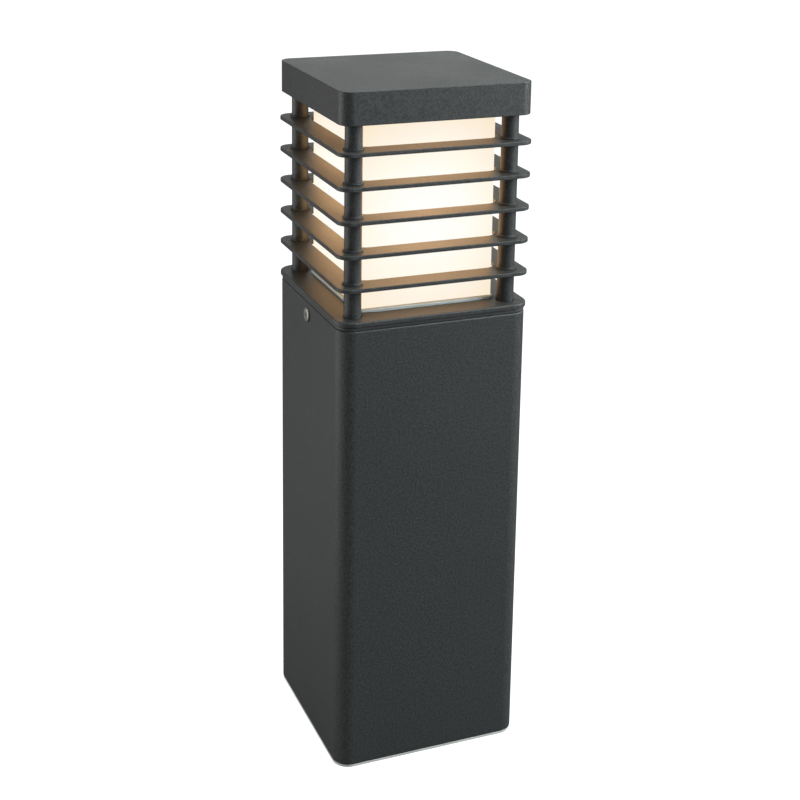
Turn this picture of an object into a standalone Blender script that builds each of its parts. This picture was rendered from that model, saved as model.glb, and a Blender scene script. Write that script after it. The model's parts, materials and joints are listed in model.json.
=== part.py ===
"""A square bollard light: a hollow column with a louvred lantern head that lifts off over the lamp.

The frame has +Z up and its origin at the centre of the foot, on the ground. The front is -Y.
"""

import math

import bmesh
import bpy
from mathutils import Matrix

# Driving dimensions, in metres.
GAP = 0.0003                 # clearance between pieces that rest on each other

COLUMN_WIDTH = 0.128
COLUMN_WALL = 0.0025
COLUMN_CORNER = 0.011
COLUMN_TOP = 0.301

FOOT_GASKET_THICKNESS = 0.0017
FOOT_PLATE_THICKNESS = 0.005
FOOT_BOLT_SPACING = 0.084
FOOT_BOLT_HOLE_RADIUS = 0.0045
GASKET_HOLE_ALLOWANCE = 0.002
CABLE_HOLE_RADIUS = 0.0104
GASKET_CABLE_OPENING_RADIUS = 0.020

LIP_BOTTOM = 0.3037          # the head base's lip, which covers the column's mouth
LIP_TOP = 0.3069
SPIGOT_DEPTH = 0.0047        # how far the head base reaches into the column's mouth
SPIGOT_CLEARANCE = 0.0004
LAMP_OPENING = 0.082         # the square opening that passes over the lamp
TAB_WIDTH = 0.056
TAB_THICKNESS = 0.0022
TAB_BOTTOM = 0.281
TAB_ROOT = 0.002             # how far a tab runs up into the spigot
HEAD_GASKET_INSET = 0.0008

LOUVRE_COUNT = 5
LOUVRE_WIDTH = 0.1285
LOUVRE_CORNER = 0.0087
LOUVRE_OPENING = 0.0966
LOUVRE_OPENING_CORNER = 0.009
LOUVRE_THICKNESS = 0.0026
LOUVRE_PITCH = 0.0212

CAP_WIDTH = 0.1266
CAP_CORNER = 0.0082
CAP_BOTTOM = 0.4292
CAP_TOP = 0.450
CAP_WALL = 0.003
CAP_EDGE = 0.0005
CAP_BOSS_RADIUS = 0.007
CAP_BOSS_BOTTOM = 0.431
CAP_BOSS_TRIM = 0.0004       # how far the cutter that shortens a boss runs past its side
CAP_BOLT_BORE_TOP = 0.445

POST_OFFSET = 0.052          # from the axis to each corner post, along X and along Y
SPACER_RADIUS = 0.0055
COLLAR_RADIUS = 0.00645
COLLAR_HEIGHT = 0.001
SEAT_RADIUS = 0.00585        # the shallow seats that hold the lowest spacers
SEAT_DEPTH = 0.0008

BOLT_RADIUS = 0.0025         # M5 throughout
BOLT_HOLE_RADIUS = 0.0028
BOLT_HEAD_RADIUS = 0.0046
BOLT_HEAD_HEIGHT = 0.004
BOLT_TOP = 0.444

DIFFUSER_WIDTH = 0.090
DIFFUSER_WALL = 0.0025
DIFFUSER_EDGE = 0.0008
DIFFUSER_BOTTOM = 0.3085
DIFFUSER_TOP = 0.444
SEAL_POCKET_WIDTH = 0.0986
SEAL_POCKET_DEPTH = 0.0018
SEAL_OVERHANG = 0.0005
SEAL_CORNER = 0.005
SEAL_OPENING = 0.083
TOP_GASKET_WIDTH = 0.0795
TOP_GASKET_OPENING = 0.0595
TOP_GASKET_CORNER = 0.005

CLAMP_SCREW_HEIGHT = 0.2927
CLAMP_SCREW_LENGTH = 0.006
BUTTON_RADIUS = 0.00475
BUTTON_HEIGHT = 0.0015        # a low-profile head
BUTTON_CROWN_RADIUS = 0.0030
BUTTON_DROP = 0.0011         # how far the crown falls to the rim of the button
SOCKET_RADIUS = 0.00173      # over the corners of a 3 mm hexagon
SOCKET_DEPTH = 0.0016
CLAMP_NUT_RADIUS = 0.0045
CLAMP_NUT_LENGTH = 0.0031

LAMP_CONTACT_BOTTOM = 0.289
LAMP_SHELL_BOTTOM = 0.2935
LAMP_GLASS_BOTTOM = 0.3163
LAMP_TOP = 0.395
LAMP_RADIUS = 0.030
LAMP_NECK_RADIUS = 0.0125
LAMP_SHOULDER_ANGLE = -35    # where the globe turns into the neck, in degrees from level
LAMP_CONTACT_RADIUS = 0.0045
LAMP_INSULATOR_RADIUS = 0.0110
SHELL_BOTTOM_RADIUS = 0.0115
SHELL_RADIUS = 0.0131
SHELL_ROOT_RADIUS = 0.0124
SHELL_PITCH = 0.0036
SHELL_THREADS = 5

HOLDER_BOTTOM = 0.2564
HOLDER_TOP = 0.314
HOLDER_FLOOR = 0.2865
HOLDER_BORE = 0.0137
HOLDER_RADIUS = 0.0190
HOLDER_RIM_RADIUS = 0.0205
HOLDER_RIM_HEIGHT = 0.010
HOLDER_RIM_SLOPE = 0.003
HOLDER_FOOT_RADIUS = 0.0220
HOLDER_FOOT_HEIGHT = 0.004
HOLDER_FOOT_SLOPE = 0.002
HOLDER_HOLLOW_RADIUS = 0.0120
HOLDER_HOLLOW_DEPTH = 0.010
SPRING_RADIUS = 0.0055
SPRING_TOP_RADIUS = 0.0045
SPRING_HEIGHT = 0.0012
SPRING_CROWN = 0.0014

TRAY_WIDTH = 0.040
TRAY_THICKNESS = 0.002
TRAY_BACK = 0.024
TRAY_TOP_REACH = 0.022
TRAY_FOOT_REACH = 0.016
TRAY_SCREW_OFFSET = 0.012
TRAY_FOOT_SCREW_Y = TRAY_BACK + 0.009
TRAY_SCREW_RADIUS = 0.002
TRAY_SCREW_LENGTH = 0.006
TRAY_SCREW_HEAD_RADIUS = 0.0038
TRAY_SCREW_HEAD_SIDE = 0.0012
TRAY_SCREW_CROWN_RADIUS = 0.0026
TRAY_SCREW_CROWN_SIDE = 0.0024
TRAY_SCREW_HEAD_HEIGHT = 0.0026
TRAY_WIRE_HOLE_RADIUS = 0.009

TERMINAL_SIZE = (0.030, 0.016, 0.030)
TERMINAL_BOTTOM = 0.142
TERMINAL_EDGE = 0.001
TERMINAL_LEAD_SPREAD = 0.007
SUPPLY_CABLE_RADIUS = 0.0042
SUPPLY_CABLE_BOTTOM = 0.0006
SUPPLY_CABLE_STRAIGHT = 0.030   # above the foot plate
SUPPLY_CABLE_LEAD_IN = 0.025    # below the terminal block
LEAD_RADIUS = 0.0013
LEAD_SPREAD = 0.004
LEAD_STRAIGHT = 0.012
LEAD_LEAD_IN = 0.020
LEAD_REACH = 0.006

GLAND_NUT_RADIUS = 0.0135
GLAND_NUT_HEIGHT = 0.006
GLAND_BODY_RADIUS = 0.0105
GLAND_BODY_TOP = 0.016
GLAND_MOUTH_RADIUS = 0.007
GLAND_HEIGHT = 0.022
GLAND_THREAD_LENGTH = 0.0045

CUT_MARGIN = 0.01            # how far a cutter runs past what it cuts

WELD_DISTANCE = 0.00001

# How finely round shapes are cut, in segments.
CORNER_SEGMENTS = 6
HOLE_SEGMENTS = 12
SPACER_SEGMENTS = 14
TURNED_SEGMENTS = 20
GLOBE_SEGMENTS = 10
LAMP_NECK_STEPS = 5
BUTTON_STEPS = 4

FOOT_PLATE_BOTTOM = FOOT_GASKET_THICKNESS + 2 * GAP
FOOT_PLATE_TOP = FOOT_PLATE_BOTTOM + FOOT_PLATE_THICKNESS
COLUMN_BOTTOM = FOOT_GASKET_THICKNESS + GAP
COLUMN_BORE = COLUMN_WIDTH - 2 * COLUMN_WALL
HOLDER_SEAT = HOLDER_BOTTOM - GAP
CORNERS = {"front_left": (-1, -1), "front_right": (1, -1), "back_left": (-1, 1), "back_right": (1, 1)}


def clear_scene():
    for obj in list(bpy.data.objects):
        bpy.data.objects.remove(obj)


def new_collection(name, hidden=False):
    collection = bpy.data.collections.new(name)
    bpy.context.scene.collection.children.link(collection)
    collection.hide_render = hidden
    return collection


def principled(name, colour, roughness, metallic=0.0):
    material = bpy.data.materials.new(name)
    material.use_nodes = True
    shader = material.node_tree.nodes["Principled BSDF"]
    shader.inputs["Base Color"].default_value = (*colour, 1.0)
    shader.inputs["Roughness"].default_value = roughness
    shader.inputs["Metallic"].default_value = metallic
    material.diffuse_color = (*colour, 1.0)
    return material


def place(obj, collection, material=None):
    """Moves an object into one collection, and gives it its material."""
    for held_by in list(obj.users_collection):
        held_by.objects.unlink(obj)
    collection.objects.link(obj)
    if material is not None:
        obj.data.materials.clear()
        obj.data.materials.append(material)
    return obj


def cut(obj, cutter, operation="DIFFERENCE"):
    """Adds a Boolean modifier, and puts its cutter out of sight."""
    modifier = obj.modifiers.new(cutter.name, "BOOLEAN")
    modifier.object = cutter
    modifier.operation = operation
    place(cutter, CUTTERS)
    cutter.hide_render = True
    cutter.display_type = "WIRE"
    return obj


def arc(centre, radius, start, end, segments):
    """Points along an arc, with its angles in degrees."""
    points = []
    for step in range(segments + 1):
        angle = math.radians(start + (end - start) * step / segments)
        points.append((centre[0] + radius * math.cos(angle), centre[1] + radius * math.sin(angle)))
    return points


def rounded_square(width, corner, segments=CORNER_SEGMENTS):
    """The outline of a square with round corners, about the axis."""
    inset = width / 2 - corner
    points = []
    for turn, (x, y) in enumerate(((1, 1), (-1, 1), (-1, -1), (1, -1))):
        points += arc((x * inset, y * inset), corner, 90 * turn, 90 * turn + 90, segments)
    return points


def circle(radius, centre=(0.0, 0.0), segments=HOLE_SEGMENTS):
    return arc(centre, radius, 0, 360, segments)[:-1]


def at_corners(radius, offset, segments=HOLE_SEGMENTS):
    """Four circles, one near each corner of a square."""
    return [circle(radius, (x * offset, y * offset), segments) for x, y in CORNERS.values()]


def flat_plate(name, outlines, bottom, top):
    """A level plate between two heights. An outline inside another is a hole in it."""
    curve = bpy.data.curves.new(name + "_outline", "CURVE")
    curve.dimensions = "2D"
    curve.fill_mode = "BOTH"
    curve.extrude = (top - bottom) / 2
    for outline in outlines:
        spline = curve.splines.new("POLY")
        spline.points.add(len(outline) - 1)
        for point, (x, y) in zip(spline.points, outline):
            point.co = (x, y, 0.0, 1.0)
        spline.use_cyclic_u = True
    guide = bpy.data.objects.new(name + "_outline", curve)
    bpy.context.scene.collection.objects.link(guide)
    guide.location.z = (top + bottom) / 2
    bpy.context.view_layer.update()
    graph = bpy.context.evaluated_depsgraph_get()
    mesh = bpy.data.meshes.new_from_object(guide.evaluated_get(graph))
    obj = bpy.data.objects.new(name, mesh)
    bpy.context.scene.collection.objects.link(obj)
    obj.matrix_world = guide.matrix_world
    bpy.data.objects.remove(guide)
    weld(mesh)
    return obj


def weld(mesh):
    shape = bmesh.new()
    shape.from_mesh(mesh)
    bmesh.ops.remove_doubles(shape, verts=shape.verts, dist=WELD_DISTANCE)
    bmesh.ops.recalc_face_normals(shape, faces=shape.faces)
    shape.to_mesh(mesh)
    shape.free()
    mesh.shade_smooth()
    mesh.set_sharp_from_angle(angle=math.radians(35))


def turned(name, profile, location, closed=False, segments=TURNED_SEGMENTS):
    """A piece turned about Z. The profile is (radius, height) pairs that run down its outer side.

    A closed profile makes a ring; an open one starts and ends on the axis.
    """
    mesh = bpy.data.meshes.new(name)
    ends = len(profile)
    edges = [(i, (i + 1) % ends) for i in range(ends if closed else ends - 1)]
    mesh.from_pydata([(radius, 0.0, height) for radius, height in profile], edges, [])
    obj = bpy.data.objects.new(name, mesh)
    bpy.context.scene.collection.objects.link(obj)
    obj.location = location
    screw = obj.modifiers.new("turn", "SCREW")
    screw.axis = "Z"
    screw.steps = segments
    screw.render_steps = segments
    screw.use_merge_vertices = True
    screw.merge_threshold = WELD_DISTANCE
    screw.use_smooth_shade = True
    return obj


def block(name, size, centre):
    """A box of a given size, with the size in its mesh."""
    bpy.ops.mesh.primitive_cube_add(size=1, location=centre)
    obj = bpy.context.object
    obj.name = name
    obj.data.name = name
    obj.data.transform(Matrix.Diagonal((*size, 1.0)))
    return obj


def rod(name, radius, length, centre, axis="Z", segments=HOLE_SEGMENTS):
    """A plain cylinder along one axis; six segments make a hexagon."""
    turns = {"Z": (0, 0, 0), "X": (0, math.pi / 2, 0)}
    bpy.ops.mesh.primitive_cylinder_add(
        vertices=segments, radius=radius, depth=length, location=centre, rotation=turns[axis]
    )
    obj = bpy.context.object
    obj.name = name
    obj.data.name = name
    obj.data.shade_smooth()
    return obj


def cable(name, path, radius):
    """A round cable along a few points, joined by a smooth line."""
    curve = bpy.data.curves.new(name, "CURVE")
    curve.dimensions = "3D"
    curve.bevel_depth = radius
    curve.bevel_resolution = 2
    curve.use_fill_caps = True
    spline = curve.splines.new("POLY")
    points = smooth_path(path, steps=4)
    spline.points.add(len(points) - 1)
    for point, place_at in zip(spline.points, points):
        point.co = (*place_at, 1.0)
    obj = bpy.data.objects.new(name, curve)
    bpy.context.scene.collection.objects.link(obj)
    return obj


def smooth_path(path, steps):
    """Points that ease from each point of the path to the next in X and Y while the height runs on."""
    points = [path[0]]
    for low, high in zip(path, path[1:]):
        straight = low[:2] == high[:2]
        for step in range(1, (1 if straight else steps) + 1):
            share = 1.0 if straight else step / steps
            eased = share * share * (3 - 2 * share)
            x = low[0] + (high[0] - low[0]) * eased
            y = low[1] + (high[1] - low[1]) * eased
            points.append((x, y, low[2] + (high[2] - low[2]) * share))
    return points


def louvre_top(index):
    """The height of a louvre's upper face. Louvre 1 is the highest; the lip is one pitch under the last."""
    return LIP_TOP + LOUVRE_PITCH * (LOUVRE_COUNT + 1 - index)


def build_column():
    """The square tube, with a hole on each side for a clamp screw, and the nuts fixed inside it."""
    inner_corner = COLUMN_CORNER - COLUMN_WALL
    outlines = [rounded_square(COLUMN_WIDTH, COLUMN_CORNER), rounded_square(COLUMN_BORE, inner_corner)]
    column = flat_plate("column", outlines, COLUMN_BOTTOM, COLUMN_TOP)
    drill = rod("clamp_screw_drill", BOLT_HOLE_RADIUS, 2 * COLUMN_WIDTH, (0, 0, CLAMP_SCREW_HEIGHT), "X")
    place(cut(column, drill), PARTS, ANTHRACITE)
    for side, sign in (("left", -1), ("right", 1)):
        profile = [
            (BOLT_HOLE_RADIUS, CLAMP_NUT_LENGTH),
            (CLAMP_NUT_RADIUS, CLAMP_NUT_LENGTH),
            (CLAMP_NUT_RADIUS, 0.0),
            (BOLT_HOLE_RADIUS, 0.0),
        ]
        seat = COLUMN_BORE / 2 - GAP
        nut = turned("clamp_nut_" + side, profile, (sign * seat, 0, CLAMP_SCREW_HEIGHT), closed=True)
        nut.rotation_euler.y = -sign * math.pi / 2
        place(nut, PARTS, STAINLESS)


def build_foot():
    """The gasket that stands on the ground, and the steel plate that the column is fixed down by."""
    bolt_offset = FOOT_BOLT_SPACING / 2
    gasket_holes = at_corners(FOOT_BOLT_HOLE_RADIUS + GASKET_HOLE_ALLOWANCE, bolt_offset)
    gasket = [rounded_square(COLUMN_WIDTH, COLUMN_CORNER)]
    gasket.append(circle(GASKET_CABLE_OPENING_RADIUS, segments=TURNED_SEGMENTS))
    place(flat_plate("foot_gasket", gasket + gasket_holes, 0.0, FOOT_GASKET_THICKNESS), PARTS, FOAM)
    width = COLUMN_BORE - 2 * GAP
    outlines = [rounded_square(width, COLUMN_CORNER - COLUMN_WALL - GAP)]
    outlines.append(circle(CABLE_HOLE_RADIUS, segments=TURNED_SEGMENTS))
    outlines += at_corners(FOOT_BOLT_HOLE_RADIUS, bolt_offset)
    for sign in (-1, 1):
        outlines.append(circle(TRAY_SCREW_RADIUS + GAP, (sign * TRAY_SCREW_OFFSET, TRAY_FOOT_SCREW_Y)))
    place(flat_plate("foot_plate", outlines, FOOT_PLATE_BOTTOM, FOOT_PLATE_TOP), PARTS, GALVANISED)


def build_tray():
    """The folded strip that stands on the foot plate. It carries the terminal block and the lamp holder."""
    half = TRAY_WIDTH / 2
    foot_level = FOOT_PLATE_TOP + GAP
    flange_level = HOLDER_SEAT - TRAY_THICKNESS
    fold_line = [
        (TRAY_BACK + TRAY_FOOT_REACH, foot_level),
        (TRAY_BACK, foot_level),
        (TRAY_BACK, flange_level),
        (-TRAY_TOP_REACH, flange_level),
    ]
    sheet = bmesh.new()
    rows = [[sheet.verts.new((x, y, z)) for x in (-half, half)] for y, z in fold_line]
    for low, high in zip(rows, rows[1:]):
        sheet.faces.new((low[0], low[1], high[1], high[0]))
    mesh = bpy.data.meshes.new("gear_tray")
    sheet.to_mesh(mesh)
    sheet.free()
    tray = bpy.data.objects.new("gear_tray", mesh)
    bpy.context.scene.collection.objects.link(tray)
    thicken = tray.modifiers.new("thickness", "SOLIDIFY")
    thicken.thickness = TRAY_THICKNESS
    thicken.offset = -1.0
    thicken.use_even_offset = True
    hole_outlines = [circle(TRAY_WIRE_HOLE_RADIUS)]
    below = HOLDER_SEAT - CUT_MARGIN
    cut(tray, flat_plate("tray_wire_hole", hole_outlines, below, HOLDER_SEAT + CUT_MARGIN))
    screw_at = [(sign * TRAY_SCREW_OFFSET, TRAY_FOOT_SCREW_Y) for sign in (-1, 1)]
    screw_outlines = [circle(TRAY_SCREW_RADIUS + GAP, centre) for centre in screw_at]
    below = foot_level - CUT_MARGIN
    cut(tray, flat_plate("tray_screw_holes", screw_outlines, below, foot_level + CUT_MARGIN))
    place(tray, PARTS, GALVANISED)
    head_bottom = foot_level + TRAY_THICKNESS + GAP
    profile = [
        (0.0, TRAY_SCREW_HEAD_HEIGHT),
        (TRAY_SCREW_CROWN_RADIUS, TRAY_SCREW_CROWN_SIDE),
        (TRAY_SCREW_HEAD_RADIUS, TRAY_SCREW_HEAD_SIDE),
        (TRAY_SCREW_HEAD_RADIUS, 0.0),
        (TRAY_SCREW_RADIUS, 0.0),
        (TRAY_SCREW_RADIUS, -TRAY_SCREW_LENGTH),
        (0.0, -TRAY_SCREW_LENGTH),
    ]
    for side, (x, y) in zip(("left", "right"), screw_at):
        screw = turned("tray_screw_" + side, profile, (x, y, head_bottom), segments=HOLE_SEGMENTS)
        place(screw, PARTS, STAINLESS)


def build_wiring():
    """The terminal block, the cable gland in the foot plate, the supply cable and the lamp leads."""
    width, depth, height = TERMINAL_SIZE
    terminal_y = TRAY_BACK - GAP - depth / 2
    terminal = block("terminal_block", TERMINAL_SIZE, (0, terminal_y, TERMINAL_BOTTOM + height / 2))
    edge = terminal.modifiers.new("edge", "BEVEL")
    edge.width = TERMINAL_EDGE
    edge.segments = 1
    place(terminal, PARTS, WHITE_PLASTIC)
    bore = SUPPLY_CABLE_RADIUS + GAP
    profile = [
        (bore, GLAND_HEIGHT),
        (GLAND_MOUTH_RADIUS, GLAND_HEIGHT),
        (GLAND_BODY_RADIUS, GLAND_BODY_TOP),
        (GLAND_BODY_RADIUS, GLAND_NUT_HEIGHT),
        (GLAND_NUT_RADIUS, GLAND_NUT_HEIGHT),
        (GLAND_NUT_RADIUS, 0.0),
        (CABLE_HOLE_RADIUS - GAP, 0.0),
        (CABLE_HOLE_RADIUS - GAP, -GLAND_THREAD_LENGTH),
        (bore, -GLAND_THREAD_LENGTH),
    ]
    gland = turned("cable_gland", profile, (0, 0, FOOT_PLATE_TOP + GAP), closed=True)
    place(gland, PARTS, BLACK_PLASTIC)
    supply = [
        (0, 0, SUPPLY_CABLE_BOTTOM),
        (0, 0, FOOT_PLATE_TOP + SUPPLY_CABLE_STRAIGHT),
        (0, terminal_y, TERMINAL_BOTTOM - SUPPLY_CABLE_LEAD_IN),
        (0, terminal_y, TERMINAL_BOTTOM - GAP),
    ]
    place(cable("supply_cable", supply, SUPPLY_CABLE_RADIUS), PARTS, BLACK_CABLE)
    terminal_top = TERMINAL_BOTTOM + height
    for name, sign, material in (("live", -1, BROWN_CABLE), ("neutral", 1, BLUE_CABLE)):
        lead = [
            (sign * TERMINAL_LEAD_SPREAD, terminal_y, terminal_top + GAP),
            (sign * TERMINAL_LEAD_SPREAD, terminal_y, terminal_top + LEAD_STRAIGHT),
            (sign * LEAD_SPREAD, 0, HOLDER_SEAT - LEAD_LEAD_IN),
            (sign * LEAD_SPREAD, 0, HOLDER_BOTTOM + LEAD_REACH),
        ]
        place(cable("lamp_lead_" + name, lead, LEAD_RADIUS), PARTS, material)


def build_holder():
    """The porcelain screw-in lamp holder, with the spring contact on its floor."""
    floor = HOLDER_FLOOR - HOLDER_BOTTOM
    rim = HOLDER_TOP - HOLDER_BOTTOM
    profile = [
        (0.0, floor),
        (HOLDER_BORE, floor),
        (HOLDER_BORE, rim),
        (HOLDER_RIM_RADIUS, rim),
        (HOLDER_RIM_RADIUS, rim - HOLDER_RIM_HEIGHT),
        (HOLDER_RADIUS, rim - HOLDER_RIM_HEIGHT - HOLDER_RIM_SLOPE),
        (HOLDER_RADIUS, HOLDER_FOOT_HEIGHT + HOLDER_FOOT_SLOPE),
        (HOLDER_FOOT_RADIUS, HOLDER_FOOT_HEIGHT),
        (HOLDER_FOOT_RADIUS, 0.0),
        (HOLDER_HOLLOW_RADIUS, 0.0),
        (HOLDER_HOLLOW_RADIUS, HOLDER_HOLLOW_DEPTH),
        (0.0, HOLDER_HOLLOW_DEPTH),
    ]
    place(turned("lamp_holder", profile, (0, 0, HOLDER_BOTTOM)), PARTS, PORCELAIN)
    contact = [(0.0, SPRING_CROWN), (SPRING_TOP_RADIUS, SPRING_HEIGHT), (SPRING_RADIUS, 0.0), (0.0, 0.0)]
    spring = turned("holder_contact", contact, (0, 0, HOLDER_FLOOR + GAP), segments=HOLE_SEGMENTS)
    place(spring, PARTS, BRASS)


def build_lamp():
    """The screw-in lamp: its end contact, its threaded shell and its glass."""
    insulator_height = LAMP_SHELL_BOTTOM - GAP - LAMP_CONTACT_BOTTOM
    insulator = [
        (0.0, insulator_height),
        (LAMP_INSULATOR_RADIUS, insulator_height),
        (LAMP_CONTACT_RADIUS, 0.0),
        (0.0, 0.0),
    ]
    place(turned("lamp_contact", insulator, (0, 0, LAMP_CONTACT_BOTTOM)), PARTS, BLACK_PLASTIC)

    shell_height = LAMP_GLASS_BOTTOM - GAP - LAMP_SHELL_BOTTOM
    profile = [(0.0, shell_height), (SHELL_RADIUS, shell_height)]
    for turn in range(SHELL_THREADS, 0, -1):
        profile.append((SHELL_ROOT_RADIUS, SHELL_PITCH * (turn + 0.5)))
        profile.append((SHELL_RADIUS, SHELL_PITCH * turn))
    profile += [(SHELL_ROOT_RADIUS, SHELL_PITCH * 0.5), (SHELL_BOTTOM_RADIUS, 0.0), (0.0, 0.0)]
    place(turned("lamp_shell", profile, (0, 0, LAMP_SHELL_BOTTOM)), PARTS, ALUMINIUM)

    globe = LAMP_TOP - LAMP_RADIUS - LAMP_GLASS_BOTTOM
    glass = arc((0.0, globe), LAMP_RADIUS, 90, LAMP_SHOULDER_ANGLE, GLOBE_SEGMENTS)
    glass[0] = (0.0, globe + LAMP_RADIUS)
    wide, low = glass[-1]
    for step in range(1, LAMP_NECK_STEPS + 1):
        share = step / LAMP_NECK_STEPS
        eased = 1 - (1 - share) ** 2
        glass.append((wide + (LAMP_NECK_RADIUS - wide) * eased, low * (1 - share)))
    glass.append((0.0, 0.0))
    place(turned("lamp_glass", glass, (0, 0, LAMP_GLASS_BOTTOM)), PARTS, OPAL_GLASS)


def build_head_base():
    """The head's base: a lip over the column's mouth, a spigot inside it, and two tabs for the clamps."""
    lip = flat_plate("head_base", [rounded_square(COLUMN_WIDTH, COLUMN_CORNER)], LIP_BOTTOM, LIP_TOP)
    spigot_width = COLUMN_BORE - 2 * SPIGOT_CLEARANCE
    spigot_outline = rounded_square(spigot_width, COLUMN_CORNER - COLUMN_WALL - SPIGOT_CLEARANCE)
    spigot_bottom = LIP_BOTTOM - SPIGOT_DEPTH
    middle = (LIP_BOTTOM + LIP_TOP) / 2
    cut(lip, flat_plate("head_base_spigot", [spigot_outline], spigot_bottom, middle), "UNION")
    tab_outer = COLUMN_WIDTH / 2 - CLAMP_SCREW_LENGTH - GAP
    tab_top = spigot_bottom + TAB_ROOT
    for side, sign in (("left", -1), ("right", 1)):
        centre = (sign * (tab_outer - TAB_THICKNESS / 2), 0, (TAB_BOTTOM + tab_top) / 2)
        tab = block("head_base_tab_" + side, (TAB_THICKNESS, TAB_WIDTH, tab_top - TAB_BOTTOM), centre)
        cut(lip, tab, "UNION")
    openings = [rounded_square(LAMP_OPENING, LOUVRE_OPENING_CORNER)]
    openings += at_corners(BOLT_HOLE_RADIUS, POST_OFFSET)
    cut(lip, flat_plate("head_base_openings", openings, TAB_BOTTOM - CUT_MARGIN, LIP_TOP + CUT_MARGIN))
    pocket = [rounded_square(SEAL_POCKET_WIDTH, LOUVRE_OPENING_CORNER)]
    cut(lip, flat_plate("head_base_pocket", pocket, LIP_TOP - SEAL_POCKET_DEPTH, LIP_TOP + CUT_MARGIN))
    seats = at_corners(SEAT_RADIUS, POST_OFFSET)
    cut(lip, flat_plate("head_base_seats", seats, LIP_TOP - SEAT_DEPTH, LIP_TOP + CUT_MARGIN))
    place(lip, PARTS, ANTHRACITE)

    gasket_bottom = COLUMN_TOP + GAP
    gasket = [
        rounded_square(COLUMN_WIDTH - 2 * HEAD_GASKET_INSET, COLUMN_CORNER - HEAD_GASKET_INSET),
        rounded_square(COLUMN_BORE, COLUMN_CORNER - COLUMN_WALL),
    ]
    place(flat_plate("head_gasket", gasket, gasket_bottom, LIP_BOTTOM - GAP), PARTS, RUBBER)


def build_louvres():
    """The square frames of the cage, and the collared spacers that hold them apart."""
    outlines = [
        rounded_square(LOUVRE_WIDTH, LOUVRE_CORNER),
        rounded_square(LOUVRE_OPENING, LOUVRE_OPENING_CORNER),
    ]
    outlines += at_corners(BOLT_HOLE_RADIUS, POST_OFFSET)
    for index in range(1, LOUVRE_COUNT + 1):
        top = louvre_top(index)
        louvre = flat_plate(f"louvre_{index}", outlines, top - LOUVRE_THICKNESS, top)
        place(louvre, PARTS, ANTHRACITE)
    for index in range(1, LOUVRE_COUNT + 2):
        build_spacers(index)


def build_spacers(index):
    """The four spacers that stand on a louvre or, under the last louvre, in the head base's seats."""
    lowest = index == LOUVRE_COUNT + 1
    bottom = (LIP_TOP - SEAT_DEPTH if lowest else louvre_top(index)) + GAP
    ceiling = CAP_BOSS_BOTTOM if index == 1 else louvre_top(index - 1) - LOUVRE_THICKNESS
    height = ceiling - GAP - bottom
    profile = [(BOLT_HOLE_RADIUS, height), (SPACER_RADIUS, height)]
    if not lowest:
        profile += [(SPACER_RADIUS, COLLAR_HEIGHT), (COLLAR_RADIUS, COLLAR_HEIGHT), (COLLAR_RADIUS, 0.0)]
    else:
        profile += [(SPACER_RADIUS, 0.0)]
    profile += [(BOLT_HOLE_RADIUS, 0.0)]
    for corner, (x, y) in CORNERS.items():
        name = f"spacer_{index}_{corner}"
        location = (x * POST_OFFSET, y * POST_OFFSET, bottom)
        spacer = turned(name, profile, location, closed=True, segments=SPACER_SEGMENTS)
        place(spacer, PARTS, ANTHRACITE)


def build_cage_bolts():
    """The long bolts that run from under the head base, through the spacers and louvres, into the cap."""
    head_top = LIP_BOTTOM - SPIGOT_DEPTH - GAP
    for corner, (x, y) in CORNERS.items():
        centre = (x * POST_OFFSET, y * POST_OFFSET)
        length = BOLT_TOP - head_top + BOLT_HEAD_HEIGHT / 2
        bolt = rod("cage_bolt_" + corner, BOLT_RADIUS, length, (*centre, BOLT_TOP - length / 2))
        head_centre = (*centre, head_top - BOLT_HEAD_HEIGHT / 2)
        head = rod("cage_bolt_head_" + corner, BOLT_HEAD_RADIUS, BOLT_HEAD_HEIGHT, head_centre, segments=6)
        place(cut(bolt, head, "UNION"), PARTS, STAINLESS)


def build_cap():
    """The cap: a shallow hollow lid with a boss in each corner for a cage bolt."""
    cap = flat_plate("cap", [rounded_square(CAP_WIDTH, CAP_CORNER)], CAP_BOTTOM, CAP_TOP)
    edge = cap.modifiers.new("edge", "BEVEL")
    edge.width = CAP_EDGE
    edge.segments = 2
    edge.limit_method = "ANGLE"
    edge.angle_limit = math.radians(60)
    inner = rounded_square(CAP_WIDTH - 2 * CAP_WALL, CAP_CORNER - CAP_WALL)
    hollow = [inner] + at_corners(CAP_BOSS_RADIUS, POST_OFFSET)
    below = CAP_BOTTOM - CUT_MARGIN
    cut(cap, flat_plate("cap_hollow", hollow, below, CAP_TOP - CAP_WALL))
    trim = at_corners(CAP_BOSS_RADIUS + CAP_BOSS_TRIM, POST_OFFSET)
    cut(cap, flat_plate("cap_boss_trim", trim, below, CAP_BOSS_BOTTOM))
    bores = at_corners(BOLT_HOLE_RADIUS, POST_OFFSET)
    cut(cap, flat_plate("cap_boss_bores", bores, below, CAP_BOLT_BORE_TOP))
    place(cap, PARTS, ANTHRACITE)


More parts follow.
